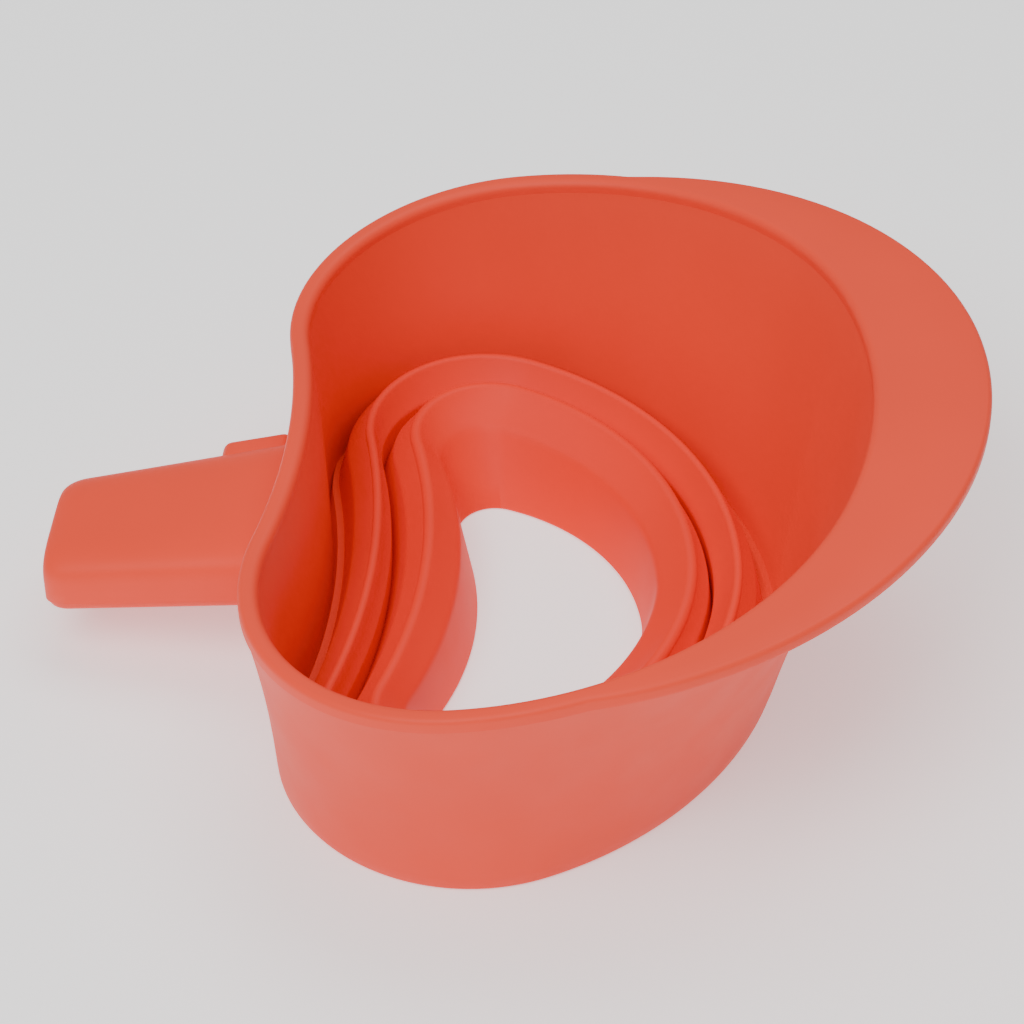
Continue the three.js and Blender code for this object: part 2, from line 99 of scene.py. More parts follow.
class FunnelSizes(bpy.types.PropertyGroup):
    """Sizes that shape the cup, its folds and its handle"""

    bead_width: bpy.props.FloatProperty(
        name="Bead width", description="Width of the rolled bead round the mouth",
        default=3.6 * MM, unit="LENGTH")
    flange_thickness: bpy.props.FloatProperty(
        name="Flange thickness", description="Thickness of the hanging flange",
        default=2.6 * MM, unit="LENGTH")
    wall_top: bpy.props.FloatProperty(
        name="Wall at the rim", description="Wall thickness under the bead", default=3.2 * MM, unit="LENGTH")
    wall_foot: bpy.props.FloatProperty(
        name="Wall at the foot", description="Wall thickness at the foot", default=2.2 * MM, unit="LENGTH")
    outer_valley_height: bpy.props.FloatProperty(
        name="Outer valley", description="Height of the outer fold's valley", default=5.0 * MM, unit="LENGTH")
    inner_valley_height: bpy.props.FloatProperty(
        name="Inner valley", description="Height of the inner fold's valley", default=6.0 * MM, unit="LENGTH")
    shoulder_height: bpy.props.FloatProperty(
        name="Shoulder", description="Height where a fold turns steeply down", default=12.0 * MM, unit="LENGTH")
    crest_height: bpy.props.FloatProperty(
        name="Crest", description="Height of both rings' crests", default=17.0 * MM, unit="LENGTH")
    crease_height: bpy.props.FloatProperty(
        name="Crease", description="Height where the pouring ring turns into the spout",
        default=12.5 * MM, unit="LENGTH")
    fold_thickness: bpy.props.FloatProperty(
        name="Fold thickness", description="Thickness of the silicone folds", default=0.9 * MM, unit="LENGTH")
    outer_crest_radius: bpy.props.FloatProperty(
        name="Outer crest radius", description="Rounding of the middle ring's crest",
        default=0.9 * MM, unit="LENGTH")
    inner_crest_radius: bpy.props.FloatProperty(
        name="Inner crest radius", description="Rounding of the pouring ring's crest",
        default=1.3 * MM, unit="LENGTH")
    handle_width: bpy.props.FloatProperty(
        name="Handle width", description="Width of the handle at its tip", default=27.6 * MM, unit="LENGTH")
    handle_depth: bpy.props.FloatProperty(
        name="Handle depth", description="Thickness of the handle at its tip", default=13.8 * MM, unit="LENGTH")


class FunnelColours(bpy.types.PropertyGroup):
    """Colours of the plastic, the silicone, the screws and the floor"""

    shell: bpy.props.FloatVectorProperty(
        name="Shell", description="Satin plastic of the cup and the handle", subtype="COLOR",
        size=4, default=(0.93, 0.060, 0.022, 1.0))
    fold: bpy.props.FloatVectorProperty(
        name="Folds", description="Silicone of the folds and the rings", subtype="COLOR",
        size=4, default=(0.90, 0.040, 0.014, 1.0))
    steel: bpy.props.FloatVectorProperty(
        name="Screws", description="Steel of the handle's screws", subtype="COLOR",
        size=4, default=(0.56, 0.57, 0.59, 1.0))
    floor: bpy.props.FloatVectorProperty(
        name="Floor", description="Pale floor and sweep", subtype="COLOR",
        size=4, default=(0.94, 0.94, 0.94, 1.0))


# ------------------------------------------------------------------ heart outlines

def side_centre(heart):
    """The centre of the side arc, tangent inside to the lobe and to the tip."""
    notch_r, lobe_r, lobe_x, lobe_y, side_r, tip_r, reach = heart
    lobe = Vector((lobe_x, lobe_y))
    towards_tip = Vector((reach - tip_r, 0)) - lobe
    distance = towards_tip.length
    from_lobe = side_r - lobe_r
    along = (from_lobe ** 2 - (side_r - tip_r) ** 2 + distance ** 2) / (2 * distance)
    across = math.sqrt(max(0, from_lobe ** 2 - along ** 2)) * (1 if side_r > tip_r else -1)
    towards_tip /= distance
    return lobe + towards_tip * along + Vector((towards_tip.y, -towards_tip.x)) * across


def bearing(start, end):
    return math.atan2(end.y - start.y, end.x - start.x)


def heart_outline(heart, steps=ARC_STEPS):
    """Points in millimetres with their outward normals, from the notch past the +Y lobe and round."""
    notch_r, lobe_r, lobe_x, lobe_y, side_r, tip_r, reach = heart
    lobe = Vector((lobe_x, lobe_y))
    tip = Vector((reach - tip_r, 0))
    notch = Vector((lobe_x - math.sqrt((notch_r + lobe_r) ** 2 - lobe_y ** 2), 0))
    side = side_centre(heart)
    notch_end = bearing(notch, lobe)
    lobe_end = bearing(side, lobe)
    side_end = bearing(side, tip) if side_r > tip_r else bearing(tip, side)
    arcs = (
        (notch, notch_r, 0, notch_end, -1),
        (lobe, lobe_r, notch_end + math.pi, lobe_end, 1),
        (side, side_r, lobe_end, side_end, 1),
        (tip, tip_r, side_end, 0, 1),
    )
    half = []
    for (centre, radius, start, end, outward), count in zip(arcs, steps):
        for step in range(count):
            angle = start + (end - start) * step / count
            ray = Vector((math.cos(angle), math.sin(angle)))
            half.append((centre + ray * radius, ray * outward))
    half.append((Vector((reach, 0)), Vector((1, 0))))
    mirrored = [(Vector((p.x, -p.y)), Vector((n.x, -n.y))) for p, n in reversed(half[1:-1])]
    return half + mirrored


POINTS_ROUND = len(heart_outline(FOOT))
RIM_NOTCH_X = heart_outline(RIM)[0][0].x * MM


def rim_height(x):
    """Height of the rim's top at X, before the row's shift."""
    return RIM_HEIGHT_AT_NOTCH + RIM_SLOPE * (x - RIM_NOTCH_X)


def flange_reach(point, normal, bead_half):
    """How far the flange's round edge lies beyond the bead at a point of the rim, in metres."""
    away = point - Vector((FLANGE_CENTRE_X_MM, 0))
    if away.x <= 0:
        return 0.0
    along = away.dot(normal)
    reach = -along + math.sqrt(along ** 2 - away.length_squared + FLANGE_RADIUS_MM ** 2)
    return max(0.0, reach * MM - bead_half)


def guide_object(name, points, normals=None):
    """A loop of loose points that a loft reads, with an outward direction on each point."""
    mesh = bpy.data.meshes.new(name)
    count = len(points)
    mesh.from_pydata(points, [(i, (i + 1) % count) for i in range(count)], [])
    if normals:
        outward = mesh.attributes.new("outward", "FLOAT_VECTOR", "POINT")
        for item, normal in zip(outward.data, normals):
            item.vector = normal
    guide = bpy.data.objects.new(name, mesh)
    bpy.context.scene.collection.objects.link(guide)
    return guide


def heart_guide(name, heart, height, reach=None):
    """A heart outline as a guide; height is a number or a function of X, reach pushes it outwards."""
    points, normals = [], []
    for point, normal in heart_outline(heart):
        push = reach(point, normal) if reach else 0.0
        x = point.x * MM + normal.x * push
        y = point.y * MM + normal.y * push
        points.append((x + ROW_SHIFT_X, y, height(x) if callable(height) else height))
        normals.append((normal.x, normal.y, 0))
    return guide_object(name, points, normals)


# ------------------------------------------------------------------ the heart loft

def loft_tree():
    """Geometry Nodes that skin a closed section round three heart guides.

    A section point is (share, offset, lift): share 0 to 1 runs from the low to the middle heart and
    1 to 2 on to the high one, offset moves outwards and lift moves up."""
    existing = bpy.data.node_groups.get("Heart loft")
    if existing:
        return existing
    tree = bpy.data.node_groups.new("Heart loft", "GeometryNodeTree")
    face = tree.interface
    face.new_socket("Geometry", in_out="INPUT", socket_type="NodeSocketGeometry")
    for name in ("Low heart", "Middle heart", "High heart", "Section"):
        face.new_socket(name, in_out="INPUT", socket_type="NodeSocketObject")
    face.new_socket("Points round", in_out="INPUT", socket_type="NodeSocketInt")
    face.new_socket("Section points", in_out="INPUT", socket_type="NodeSocketInt")
    face.new_socket("Finish", in_out="INPUT", socket_type="NodeSocketMaterial")
    face.new_socket("Geometry", in_out="OUTPUT", socket_type="NodeSocketGeometry")
    nodes, link = tree.nodes, tree.links.new
    given = nodes.new("NodeGroupInput")

    def whole(operation, a, b):
        node = nodes.new("FunctionNodeIntegerMath")
        node.operation = operation
        for socket, value in zip(node.inputs, (a, b)):
            if isinstance(value, int):
                socket.default_value = value
            else:
                link(value, socket)
        return node.outputs[0]

    columns = whole("ADD", given.outputs["Points round"], 1)
    rows = whole("ADD", given.outputs["Section points"], 1)
    grid = nodes.new("GeometryNodeMeshGrid")
    link(columns, grid.inputs["Vertices X"])
    link(rows, grid.inputs["Vertices Y"])
    index = nodes.new("GeometryNodeInputIndex").outputs[0]
    column = whole("MODULO", whole("DIVIDE_FLOOR", index, rows), given.outputs["Points round"])
    row = whole("MODULO", whole("MODULO", index, rows), given.outputs["Section points"])
    position = nodes.new("GeometryNodeInputPosition").outputs[0]
    outward = nodes.new("GeometryNodeInputNamedAttribute")
    outward.data_type = "FLOAT_VECTOR"
    outward.inputs["Name"].default_value = "outward"

    def sampled(source, value, at):
        info = nodes.new("GeometryNodeObjectInfo")
        link(given.outputs[source], info.inputs["Object"])
        sample = nodes.new("GeometryNodeSampleIndex")
        sample.data_type = "FLOAT_VECTOR"
        link(info.outputs["Geometry"], sample.inputs["Geometry"])
        link(value, sample.inputs["Value"])
        link(at, sample.inputs["Index"])
        return sample.outputs["Value"]

    section = nodes.new("ShaderNodeSeparateXYZ")
    link(sampled("Section", position, row), section.inputs[0])

    def clamped(value, less):
        node = nodes.new("ShaderNodeMath")
        node.operation = "SUBTRACT"
        node.use_clamp = True
        node.inputs[1].default_value = less
        link(value, node.inputs[0])
        return node.outputs[0]

    def mixed(share, a, b):
        node = nodes.new("ShaderNodeMix")
        node.data_type = "VECTOR"
        link(share, node.inputs[0])
        link(a, node.inputs[4])
        link(b, node.inputs[5])
        return node.outputs[1]

    first, second = clamped(section.outputs[0], 0.0), clamped(section.outputs[0], 1.0)

    def along_hearts(value):
        low, middle, high = (sampled(name, value, column) for name in
                             ("Low heart", "Middle heart", "High heart"))
        return mixed(second, mixed(first, low, middle), high)

    push = nodes.new("ShaderNodeVectorMath")
    push.operation = "SCALE"
    link(along_hearts(outward.outputs["Attribute"]), push.inputs[0])
    link(section.outputs[1], push.inputs["Scale"])
    lift = nodes.new("ShaderNodeCombineXYZ")
    link(section.outputs[2], lift.inputs[2])

    def added(a, b):
        node = nodes.new("ShaderNodeVectorMath")
        link(a, node.inputs[0])
        link(b, node.inputs[1])
        return node.outputs[0]

    place = nodes.new("GeometryNodeSetPosition")
    link(grid.outputs["Mesh"], place.inputs["Geometry"])
    link(added(added(along_hearts(position), push.outputs[0]), lift.outputs[0]), place.inputs["Position"])
    merge = nodes.new("GeometryNodeMergeByDistance")
    merge.inputs["Distance"].default_value = 1e-6
    link(place.outputs[0], merge.inputs["Geometry"])
    realize = nodes.new("GeometryNodeRealizeInstances")
    link(merge.outputs[0], realize.inputs[0])
    finish = nodes.new("GeometryNodeSetMaterial")
    link(realize.outputs[0], finish.inputs["Geometry"])
    link(given.outputs["Finish"], finish.inputs["Material"])
    result = nodes.new("NodeGroupOutput")
    link(finish.outputs[0], result.inputs[0])
    return tree


def plain_mesh(piece, name):
    """The evaluated shape as a plain mesh, with every modifier gone and its faces turned outwards."""
    bpy.context.view_layer.update()
    evaluated = piece.evaluated_get(bpy.context.evaluated_depsgraph_get())
    mesh = bpy.data.meshes.new_from_object(evaluated)
    mesh.name = name
    piece.modifiers.clear()
    piece.data = mesh
    shell = bmesh.new()
    shell.from_mesh(mesh)
    bmesh.ops.remove_doubles(shell, verts=shell.verts, dist=1e-6)
    bmesh.ops.recalc_face_normals(shell, faces=shell.faces)
    for face in shell.faces:
        face.smooth = True
    shell.to_mesh(mesh)
    shell.free()
    mesh.set_sharp_from_angle(angle=CREASE_ANGLE)
    mesh.update()
    return piece


def heart_loft(name, low, middle, high, section, finish):
    """A ring-shaped piece: a closed section skinned round three heart guides."""
    outline = guide_object(name + "_section", section)
    piece = bpy.data.objects.new(name, bpy.data.meshes.new(name))
    bpy.context.scene.collection.objects.link(piece)
    modifier = piece.modifiers.new("Heart loft", "NODES")
    tree = loft_tree()
    modifier.node_group = tree
    values = {"Low heart": low, "Middle heart": middle, "High heart": high, "Section": outline,
              "Points round": POINTS_ROUND, "Section points": len(section), "Finish": finish}
    for item in tree.interface.items_tree:
        if item.in_out == "INPUT" and item.name in values:
            modifier[item.identifier] = values[item.name]
    plain_mesh(piece, name)
    for guide in {low, middle, high, outline}:
        bpy.data.objects.remove(guide)
    return piece


def rounded(share, offset, lift, radius, start, end, count):
    """Points of a round corner in a section, angles in degrees from outwards towards up."""
    corner = []
    for step in range(count + 1):
        angle = math.radians(start + (end - start) * step / count)
        corner.append((share, offset + radius * math.cos(angle), lift + radius * math.sin(angle)))
    return corner


# ------------------------------------------------------------------ finishes

def group_tree(name, inputs, outputs):
    tree = bpy.data.node_groups.new(name, "ShaderNodeTree")
    for label, kind, default in inputs:
        socket = tree.interface.new_socket(label, in_out="INPUT", socket_type=kind)
        if default is not None:
            socket.default_value = default
    for label, kind in outputs:
        tree.interface.new_socket(label, in_out="OUTPUT", socket_type=kind)
    return tree, tree.nodes.new("NodeGroupInput"), tree.nodes.new("NodeGroupOutput")


def moulded_surface_group():
    """Fine moulded grain, a slow drift of tone and faint handling marks, for every moulded piece."""
    existing = bpy.data.node_groups.get("Moulded surface")
    if existing:
        return existing
    tree, given, result = group_tree(
        "Moulded surface",
        (("Colour", "NodeSocketColor", None), ("Grain Size", "NodeSocketFloat", 2600.0),
         ("Tone Drift", "NodeSocketFloat", 0.06), ("Roughness", "NodeSocketFloat", 0.42),
         ("Roughness Drift", "NodeSocketFloat", 0.08)),
        (("Colour", "NodeSocketColor"), ("Roughness", "NodeSocketFloat"), ("Height", "NodeSocketFloat")))
    nodes, link = tree.nodes, tree.links.new
    where = nodes.new("ShaderNodeTexCoord").outputs["Object"]

    def noise(scale, detail):
        node = nodes.new("ShaderNodeTexNoise")
        node.inputs["Detail"].default_value = detail
        link(where, node.inputs["Vector"])
        if isinstance(scale, float):
            node.inputs["Scale"].default_value = scale
        else:
            link(scale, node.inputs["Scale"])
        return node.outputs["Fac"]

    def between(value, low, high):
        node = nodes.new("ShaderNodeMapRange")
        link(value, node.inputs["Value"])
        node.inputs["From Min"].default_value = 0.3
        node.inputs["From Max"].default_value = 0.7
        for socket, bound in (("To Min", low), ("To Max", high)):
            if isinstance(bound, float):
                node.inputs[socket].default_value = bound
            else:
                link(bound, node.inputs[socket])
        return node.outputs["Result"]

    def maths(operation, a, b):
        node = nodes.new("ShaderNodeMath")
        node.operation = operation
        for socket, value in zip(node.inputs, (a, b)):
            if isinstance(value, float):
                socket.default_value = value
            else:
                link(value, socket)
        return node.outputs[0]

    tone = between(noise(26.0, 2.0), maths("SUBTRACT", 1.0, given.outputs["Tone Drift"]), 1.0)
    shade = nodes.new("ShaderNodeMix")
    shade.data_type = "RGBA"
    shade.blend_type = "MULTIPLY"
    shade.inputs[0].default_value = 1.0
    grey = nodes.new("ShaderNodeCombineColor")
    for channel in range(3):
        link(tone, grey.inputs[channel])
    link(given.outputs["Colour"], shade.inputs[6])
    link(grey.outputs[0], shade.inputs[7])
    link(shade.outputs[2], result.inputs["Colour"])
    marks = between(noise(90.0, 4.0), 0.0, given.outputs["Roughness Drift"])
    link(maths("ADD", given.outputs["Roughness"], marks), result.inputs["Roughness"])
    grain = noise(given.outputs["Grain Size"], 2.0)
    swell = noise(140.0, 2.0)
    link(maths("ADD", maths("MULTIPLY", grain, 0.35), maths("MULTIPLY", swell, 0.65)), result.inputs["Height"])
    return tree


def moulded_finish(name, colour, grain, roughness, bump, sheen):
    material = bpy.data.materials.new(name)
    material.use_nodes = True
    nodes, link = material.node_tree.nodes, material.node_tree.links.new
    shader = nodes["Principled BSDF"]
    surface = nodes.new("ShaderNodeGroup")
    surface.node_tree = moulded_surface_group()
    surface.inputs["Colour"].default_value = colour
    surface.inputs["Grain Size"].default_value = grain
    surface.inputs["Roughness"].default_value = roughness
    link(surface.outputs["Colour"], shader.inputs["Base Color"])
    link(surface.outputs["Roughness"], shader.inputs["Roughness"])
    height = nodes.new("ShaderNodeBump")
    height.inputs["Strength"].default_value = bump
    height.inputs["Distance"].default_value = 0.05 * MM
    link(surface.outputs["Height"], height.inputs["Height"])
    link(height.outputs["Normal"], shader.inputs["Normal"])
    shader.inputs["Specular IOR Level"].default_value = 0.3
    shader.inputs["Sheen Weight"].default_value = sheen
    shader.inputs["Sheen Roughness"].default_value = 0.5
    return material


def finish_named(name):
    """The finishes are made once and shared by the pieces."""
    existing = bpy.data.materials.get(name)
    if existing:
        return existing
    colours = bpy.context.scene.funnel_colours
    made = {
        "satin_shell": lambda: moulded_finish(name, tuple(colours.shell), 2600.0, 0.48, 0.2, 0.0),
        "silicone_fold": lambda: moulded_finish(name, tuple(colours.fold), 3200.0, 0.52, 0.2, 0.0),
        "screw_steel": lambda: steel_finish(name, tuple(colours.steel)),
    }
    return made[name]()


def steel_finish(name, colour):
    material = moulded_finish(name, colour, 1800.0, 0.28, 0.3, 0.0)
    material.node_tree.nodes["Principled BSDF"].inputs["Metallic"].default_value = 1.0
    return material


def settle(piece, body, nodes):
    """A finished piece rides on its body and stands for its CAD nodes."""
    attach(piece, body)
    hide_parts(*nodes)


# ------------------------------------------------------------------ the cup

def rim_guides(bead_half, drop=0.0):
    """The rim's heart and the flange's round edge, both in the sloping plane of the rim."""
    height = lambda x: rim_height(x) - drop
    return (heart_guide("rim_guide", RIM, height),
            heart_guide("flange_guide", RIM, height, lambda p, n: flange_reach(p, n, bead_half)))


class FUNNEL_OT_rim(bpy.types.Operator):
    """Build the rolled bead and the flange with its heart-shaped hanging hole"""

    bl_idname = "funnel.rim"
    bl_label = "Rim and flange"

    def execute(self, context):
        sizes = context.scene.funnel_sizes
        half = sizes.bead_width / 2
        inner, outer, thick = 1.5 * MM, 1.0 * MM, sizes.flange_thickness
        section = [(0, -half + 0.06 * MM, -thick)]
        section += rounded(0, -half + inner, -inner, inner, 180, 90, 8)
        section += [(0.5, 0, 0)]
        section += rounded(1, half - outer, -outer, outer, 90, 0, 7)
        section += [(1, half, -thick + 0.5 * MM), (0.985, half, -thick + 0.12 * MM), (0.96, half, -thick)]
        section += [(0.05, half, -thick), (0, half - 0.25 * MM, -thick)]
        low, high = rim_guides(half)
        rim = heart_loft("rim_and_flange", low, high, high, section, finish_named("satin_shell"))
        cutter = hole_cutter()
        cut = rim.modifiers.new("Hanging hole", "BOOLEAN")
        cut.operation = "DIFFERENCE"
        cut.solver = "EXACT"
        cut.object = cutter
        plain_mesh(rim, "rim_and_flange")
        bpy.data.objects.remove(cutter)
        settle(rim, "shell", ["rim_frame"])
        return {"FINISHED"}


def hole_cutter():
    """An upright heart-shaped block that passes through the flange."""
    outline = [p for p, n in heart_outline(HANGING_HOLE, HOLE_STEPS)]
    middle = rim_height(HANGING_HOLE[2] * MM)
    low, high = middle - 8 * MM, middle + 6 * MM
    count = len(outline)
    points = [(p.x * MM + ROW_SHIFT_X, p.y * MM, z) for z in (low, high) for p in outline]
    sides = [(i, (i + 1) % count, count + (i + 1) % count, count + i) for i in range(count)]
    ends = [tuple(reversed(range(count))), tuple(range(count, 2 * count))]
    mesh = bpy.data.meshes.new("hole_cutter")
    mesh.from_pydata(points, [], sides + ends)
    block = bmesh.new()
    block.from_mesh(mesh)
    bmesh.ops.recalc_face_normals(block, faces=block.faces)
    block.to_mesh(mesh)
    block.free()
    cutter = bpy.data.objects.new("hole_cutter", mesh)
    bpy.context.scene.collection.objects.link(cutter)
    return cutter


class FUNNEL_OT_wall(bpy.types.Operator):
    """Build the flaring wall of the cup with its foot and the ledge that carries the folds"""

    bl_idname = "funnel.wall"
    bl_label = "Cup wall"

    def execute(self, context):
        sizes = context.scene.funnel_sizes
        top, foot = sizes.wall_top / 2, sizes.wall_foot
        hollow = lambda share: -0.7 * MM * math.sin(math.pi * share)
        outer = lambda share: (1 + share, top * 0.94 * share + hollow(share), 0)
        inner = lambda share: (1 + share, hollow(share) - top * 1.08 * share - foot * (1 - share), 0)
        section = [(1, -0.7 * MM, 0), (1, -0.25 * MM, 0.12 * MM), (1.0, 0, 0.55 * MM)]
        section += [outer(step / 16) for step in range(1, 17)]
        section += [inner(step / 16) for step in range(16, 1, -1)]
        section += [(1.09, -foot - 0.35 * MM, 0), (0.35, 0, 2.6 * MM), (0.12, 0.1 * MM, 0.9 * MM)]
        section += [(0, 0.1 * MM, 0), (0, 0.1 * MM, -1.2 * MM), (1, -foot, 1.0 * MM), (1, -foot, 0)]
        half = sizes.bead_width / 2
        low, unused = rim_guides(half, 2.5 * MM)
        bpy.data.objects.remove(unused)
        wall = heart_loft(
            "cup_wall", heart_guide("valley_guide", OUTER_VALLEY, sizes.outer_valley_height),
            heart_guide("foot_guide", FOOT, 0.0), low, section, finish_named("satin_shell"))
        settle(wall, "shell", ["outer_wall"])
        return {"FINISHED"}


# ------------------------------------------------------------------ the folds and rings

def fold_sheet(name, valley, valley_height, shoulder, crest, crest_radius, sizes):
    """A silicone sheet that climbs from its valley over a crisp shoulder to the crest."""
    half = sizes.fold_thickness / 2
    section = [(0, half, -0.5 * MM), (0, half, 0.1 * MM), (0.5, half * 1.1, 0), (0.9, half * 1.3, 0)]
    section += [(0.965, half * 1.25, 0.06 * MM), (1.03, half * 1.1, 0.08 * MM), (1.12, half * 1.05, 0)]
    section += [(1.5, half + 0.02 * MM, 0), (2, crest_radius * 0.72, -crest_radius * 0.62)]
    section += [(2, 0, -crest_radius * 1.3), (1.5, -half, -0.3 * MM), (1, -half, -0.35 * MM)]
    section += [(0.5, -half, 0), (0, -half, -0.5 * MM)]
    return heart_loft(
        name, heart_guide("valley_guide", valley, valley_height),
        heart_guide("shoulder_guide", shoulder, sizes.shoulder_height),
        heart_guide("crest_guide", crest, sizes.crest_height), section, finish_named("silicone_fold"))


class FUNNEL_OT_folds(bpy.types.Operator):
    """Build the two silicone folds, fixed in their folded-down shape"""

    bl_idname = "funnel.folds"
    bl_label = "Folds"

    def execute(self, context):
        sizes = context.scene.funnel_sizes
        folds = (
            ("outer_fold", OUTER_VALLEY, sizes.outer_valley_height, OUTER_SHOULDER, OUTER_CREST,
             sizes.outer_crest_radius, "shell", "middle", "fold_band_outer"),
            ("inner_fold", INNER_VALLEY, sizes.inner_valley_height, INNER_SHOULDER, INNER_CREST,
             sizes.inner_crest_radius, "middle", "spout", "fold_band_inner"),
        )
        for name, valley, height, shoulder, ridge, radius, above, below, node in folds:
            sheet = fold_sheet(name, valley, height, shoulder, ridge, radius, sizes)
            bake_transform(sheet)
            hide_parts(node)
        return {"FINISHED"}


class FUNNEL_OT_middle_ring(bpy.types.Operator):
    """Build the middle ring: a round crest, a sloping inner side and a steep foot"""

    bl_idname = "funnel.middle_ring"
    bl_label = "Middle ring"

    def execute(self, context):
        sizes = context.scene.funnel_sizes
        radius = sizes.outer_crest_radius
        edge = 11.5 * MM - sizes.inner_valley_height
        inside, outside = 0.5 * MM, 1.9 * MM
        section = rounded(1, 0, -radius, radius, 10, 150, 12)
        section += [(0.55, 0.25 * MM, edge * 0.45), (0, inside + 0.25 * MM, edge + 0.3 * MM)]
        section += [(0, inside + 0.06 * MM, edge + 0.05 * MM), (0, inside, edge - 0.4 * MM)]
        section += [(0, inside, 0.2 * MM), (0, inside - 0.35 * MM, -0.5 * MM), (0, inside - 0.3 * MM, -1.0 * MM)]
        section += [(0, outside, -1.0 * MM), (0, outside, edge - 0.8 * MM), (1, -0.1 * MM, -2.2 * MM)]
        section += [(1, radius * 0.6, -1.7 * MM)]
        crest = heart_guide("crest_guide", OUTER_CREST, sizes.crest_height)
        ring = heart_loft(
            "middle_ring_body", heart_guide("valley_guide", INNER_VALLEY, sizes.inner_valley_height),
            crest, crest, section, finish_named("silicone_fold"))
        settle(ring, "middle", ["middle_ring"])
        return {"FINISHED"}


class FUNNEL_OT_pouring_ring(bpy.types.Operator):
    """Build the pouring ring: a broad round crest, a sloping collar and the spout below its crease"""

    bl_idname = "funnel.pouring_ring"
    bl_label = "Pouring ring"

    def execute(self, context):
        sizes = context.scene.funnel_sizes
        radius = sizes.inner_crest_radius
        wall = 1.6 * MM
        section = rounded(2, 0, -radius, radius, 10, 140, 12)
        section += [(1.5, 0.1 * MM, 0), (1.12, 0.12 * MM, 0), (1.03, 0.1 * MM, -0.02 * MM), (0.97, 0.03 * MM, 0)]
        section += [(0.9, 0, 0), (0.6, 0, 0), (0.3, 0, 0), (0.03, 0, 0), (0, 0.3 * MM, 0)]
        section += [(0, wall, 0), (0.9, wall, -0.6 * MM), (2, 0.1 * MM, -2.6 * MM), (2, radius * 0.7, -2.1 * MM)]
        ring = heart_loft(
            "pouring_ring_body", heart_guide("outlet_guide", OUTLET, 0.0),
            heart_guide("crease_guide", CREASE, sizes.crease_height),
            heart_guide("crest_guide", INNER_CREST, sizes.crest_height), section, finish_named("silicone_fold"))
        settle(ring, "spout", ["pouring_ring"])
        return {"FINISHED"}


# ------------------------------------------------------------------ the handle

HANDLE_ROOT_X = -41.8 * MM
HANDLE_TIP_X = -91.4 * MM
HANDLE_ROOT_Z = 24.5 * MM
HANDLE_TIP_Z = 15.3 * MM
HANDLE_ROOT_WIDER = 1.34
HANDLE_ROOT_DEEPER = 1.14
HANDLE_SQUARENESS = 4.0
HANDLE_END = 4.6 * MM
PARTING_DROP = 2.5 * MM
LOWER_INSET = 0.45 * MM
HANDLE_POINTS = 56


def handle_axis(x):
    """Height of the handle's axis at X."""
    share = (HANDLE_ROOT_X - x) / (HANDLE_ROOT_X - HANDLE_TIP_X)
    return HANDLE_ROOT_Z + (HANDLE_TIP_Z - HANDLE_ROOT_Z) * share


def handle_half(x, sizes):
    """Half the handle's width and depth at X."""
    share = (x - HANDLE_TIP_X) / (HANDLE_ROOT_X - HANDLE_TIP_X)
    width = sizes.handle_width / 2 * (1 + (HANDLE_ROOT_WIDER - 1) * share)
    depth = sizes.handle_depth / 2 * (1 + (HANDLE_ROOT_DEEPER - 1) * share)
    return width, depth


def squared(value):
    return math.copysign(abs(value) ** (2 / HANDLE_SQUARENESS), value)


def handle_shell(name, upper, sizes):
    """One shell of the handle: the rounded form on one side of the parting plane, closed across it."""
    inset = 0.0 if upper else LOWER_INSET
    stations = [HANDLE_ROOT_X + (HANDLE_TIP_X + HANDLE_END - HANDLE_ROOT_X) * step / 14 for step in range(15)]
    rings = [(x, 1.0) for x in stations]
    for step in range(1, 11):
        turn = step / 10 * math.pi / 2
        x = HANDLE_TIP_X + HANDLE_END * (1 - math.sin(turn))
        rings.append((x + inset * math.sin(turn), 0.74 + 0.26 * math.cos(turn) ** 0.75))
    points, faces = [], []
    for x, scale in rings:
        width, depth = handle_half(x, sizes)
        width, depth = (width - inset) * scale, (depth - inset) * (0.35 + 0.65 * scale)
        for step in range(HANDLE_POINTS):
            angle = 2 * math.pi * step / HANDLE_POINTS
            z = squared(math.sin(angle)) * depth
            z = max(z, -PARTING_DROP) if upper else min(z, -PARTING_DROP - 0.12 * MM)
            y = squared(math.cos(angle)) * width
            share = (x - HANDLE_TIP_X) / (HANDLE_ROOT_X - HANDLE_TIP_X)
            hollow = y * y / (2 * RIM[0] * MM) * share
            points.append((x - hollow + ROW_SHIFT_X, y, handle_axis(x) + z))
    for ring in range(len(rings) - 1):
        for step in range(HANDLE_POINTS):
            a = ring * HANDLE_POINTS + step
            b = ring * HANDLE_POINTS + (step + 1) % HANDLE_POINTS
            faces.append((a, b, b + HANDLE_POINTS, a + HANDLE_POINTS))
    last = (len(rings) - 1) * HANDLE_POINTS
    faces.append(tuple(range(HANDLE_POINTS)))
    faces.append(tuple(reversed(range(last, last + HANDLE_POINTS))))
    mesh = bpy.data.meshes.new(name)
    mesh.from_pydata(points, [], faces)
    mesh.materials.append(finish_named("satin_shell"))
    shell = bpy.data.objects.new(name, mesh)
    bpy.context.scene.collection.objects.link(shell)
    return plain_mesh(shell, name)


class FUNNEL_OT_handle(bpy.types.Operator):
    """Build the handle's two shells, meeting at a fine parting line"""

    bl_idname = "funnel.handle"
    bl_label = "Handle"

    def execute(self, context):
        sizes = context.scene.funnel_sizes
        for name, upper, node in (("handle_top", True, "handle_upper"), ("handle_base", False, "handle_lower")):
            settle(handle_shell(name, upper, sizes), "shell", [node])
        return {"FINISHED"}


